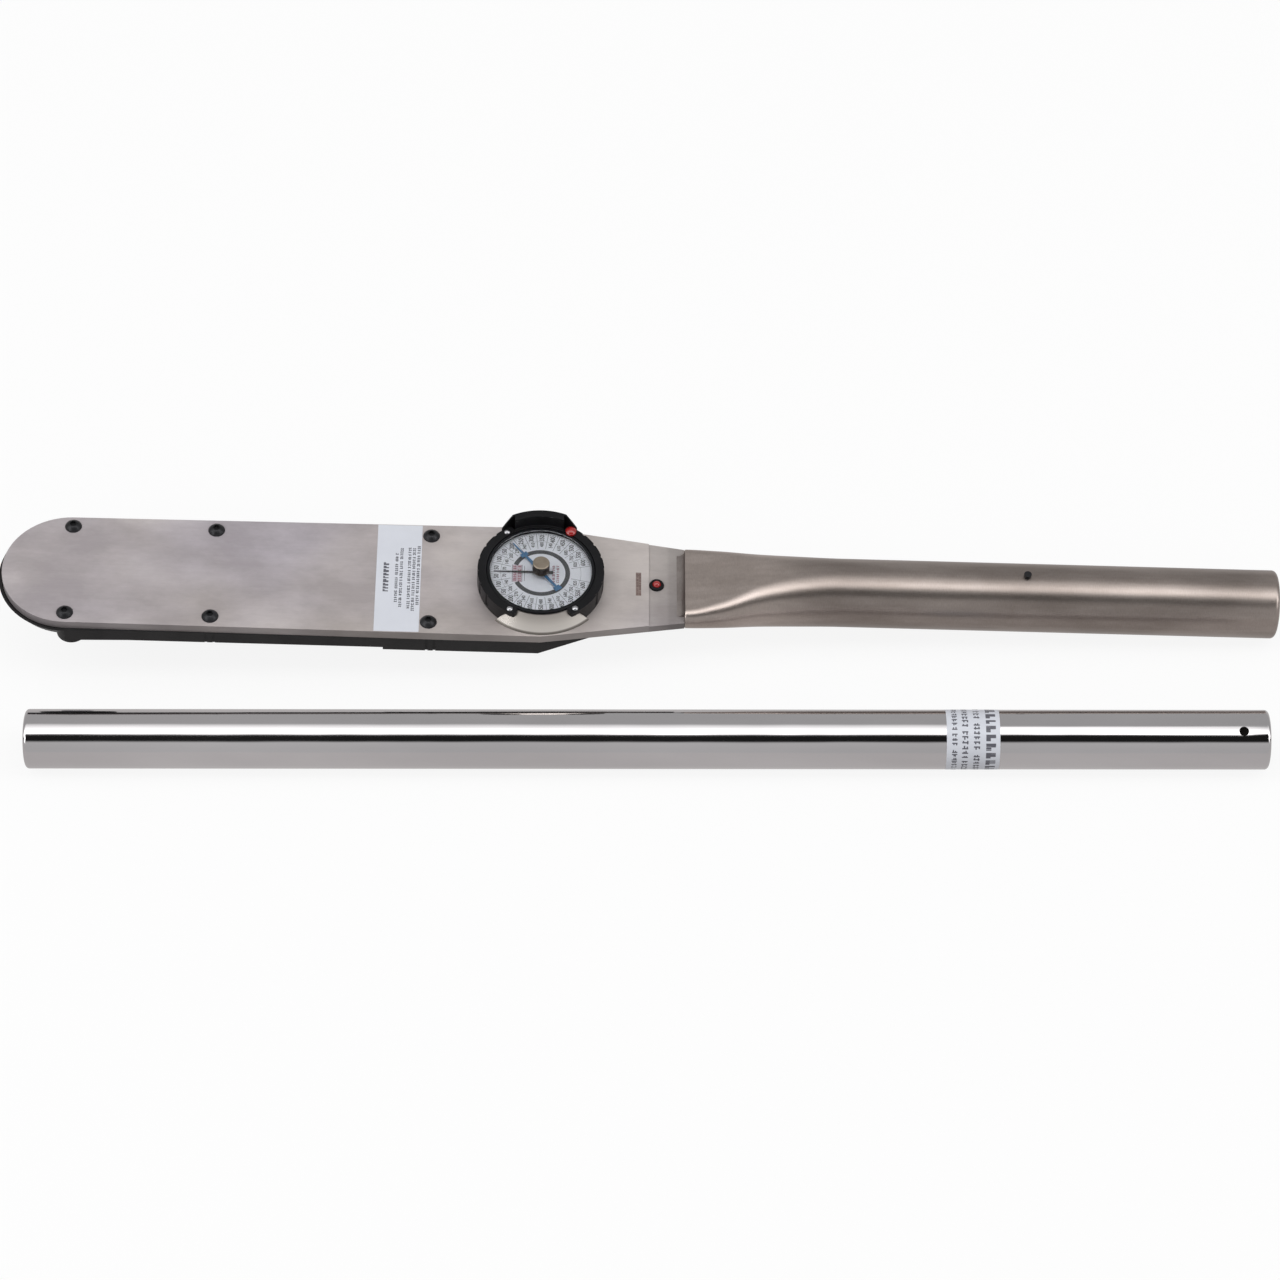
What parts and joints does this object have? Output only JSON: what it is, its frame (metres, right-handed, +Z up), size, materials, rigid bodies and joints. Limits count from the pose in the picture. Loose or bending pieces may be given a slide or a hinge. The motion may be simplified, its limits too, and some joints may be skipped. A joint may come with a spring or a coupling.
{
  "type": "dial torque wrench with extension handle",
  "caption": "Large dial torque wrench with a flat plate body, tubular handle, signal light, square drive and a separate chromed extension handle tube.",
  "frame": {"origin": "the centre of the square drive's end face", "axes": "+X along the handle towards its open end, +Z up out of the dial, +Y to the side away from the extension tube; the wrench rests on its drive and handle end, so the ground is tilted 2.4 degrees about Y"},
  "size_m": [0.8296, 0.1723, 0.0803],
  "materials": {
    "plate_steel": "satin, fine grain",
    "tube_steel": "brushed round the tube",
    "weld": "dull",
    "chrome": "polished",
    "case_steel": "satin",
    "black_steel": "black oxide",
    "black_shell": "satin black",
    "black_plastic": "satin",
    "label": "satin film",
    "dial_white": "matt white",
    "glass": "clear",
    "red_lens": "clear red",
    "blue_paint": "satin",
    "black_paint": "matt",
    "knob_metal": "turned",
    "spring_steel": "ground",
    "bright_steel": "bright",
    "brass": "machined",
    "bronze": "sintered",
    "arm_metal": "milled",
    "board": "coated",
    "wire": "soft"
  },
  "bodies": {
    "wrench": {"frame_plate": "plate_steel", "plate_screws": "black_steel", "plate_nuts": "black_steel", "plate_label": "label", "handle_tube": "tube_steel", "handle_weld": "weld", "latch_body": "black_steel", "latch_spring": "spring_steel", "lower_housing": "black_shell", "head_boss": "black_steel", "drive_bushing": "bronze", "torsion_bar": "spring_steel", "stop_pins": "bright_steel", "movement_bridge": "brass", "bridge_pillars": "brass", "bridge_screws": "bright_steel", "dial_case": "case_steel", "guard_left": "black_plastic", "guard_right": "black_plastic", "far_hood": "black_plastic", "guard_screws": "bright_steel", "corner_lamp": "red_lens", "signal_bezel": "black_plastic", "signal_lens": "red_lens", "signal_nut": "bright_steel", "signal_board": "board", "signal_wires": "wire", "signal_switch": "black_plastic", "battery_holder": "black_plastic", "battery_contact": "brass", "battery_cells": "bright_steel"},
    "drive": {"square_drive": "spring_steel", "sensing_arm": "arm_metal", "arm_clamp_screw": "black_steel", "arm_pin": "bright_steel"},
    "drive_detent": {"drive_ball": "bright_steel", "drive_spring": "spring_steel"},
    "sector": {"sector_gear": "brass", "sector_arbor": "bright_steel"},
    "needle": {"pinion_arbor": "bright_steel", "pointer": "black_paint"},
    "bezel": {"bezel_ring": "black_plastic", "dial_face": "dial_white", "dial_glass": "glass"},
    "memory": {"memory_hand": "blue_paint", "memory_knob": "knob_metal"},
    "latch": {"latch_ball": "bright_steel"},
    "door": {"battery_door": "black_plastic"},
    "extension": {"extension_tube": "chrome", "extension_label": "label"}
  },
  "joints": [
    {"name": "drive_twist", "type": "hinge", "parent": "wrench", "child": "drive", "pos_m": [0, 0, 0], "axis": [0, 0, 1], "range_deg": [-0.66, 0.66]},
    {"name": "sector_swing", "type": "hinge", "parent": "wrench", "child": "sector", "pos_m": [0.2696, 0, 0], "axis": [0, 0, 1], "range_deg": [-13.5, 13.5]},
    {"name": "pointer_spin", "type": "hinge", "parent": "wrench", "child": "needle", "pos_m": [0.3046, 0, 0], "axis": [0, 0, 1], "range_deg": [-174, 174]},
    {"name": "bezel_turn", "type": "hinge", "parent": "wrench", "child": "bezel", "pos_m": [0.3046, 0, 0], "axis": [0, 0, 1], "continuous": true},
    {"name": "memory_turn", "type": "hinge", "parent": "bezel", "child": "memory", "pos_m": [0.3046, 0, 0], "axis": [0, 0, 1], "continuous": true},
    {"name": "extension_carry", "type": "hinge", "parent": "wrench", "child": "extension", "pos_m": [0.77978, -0.05423, 0.06919], "axis": [-0.0209, -0.0297, 0.9993], "range_deg": [0, 179.93]},
    {"name": "latch_travel", "type": "slide", "parent": "wrench", "child": "latch", "axis": [0, 0, 1], "range_m": [-0.0009, 0], "deforming": ["latch_spring"]},
    {"name": "detent_press", "type": "slide", "parent": "drive", "child": "drive_detent", "axis": [0, 1, 0], "range_m": [0, 0.0013]},
    {"name": "door_turn", "type": "hinge", "parent": "wrench", "child": "door", "pos_m": [0.252, -0.025, 0.04], "axis": [0, 0, 1], "range_deg": [0, 60]}
  ],
  "couplings": [
    {"joint": "sector_swing", "follows": "drive_twist", "ratio": -20.2},
    {"joint": "pointer_spin", "follows": "drive_twist", "ratio": 262.6}
  ]
}
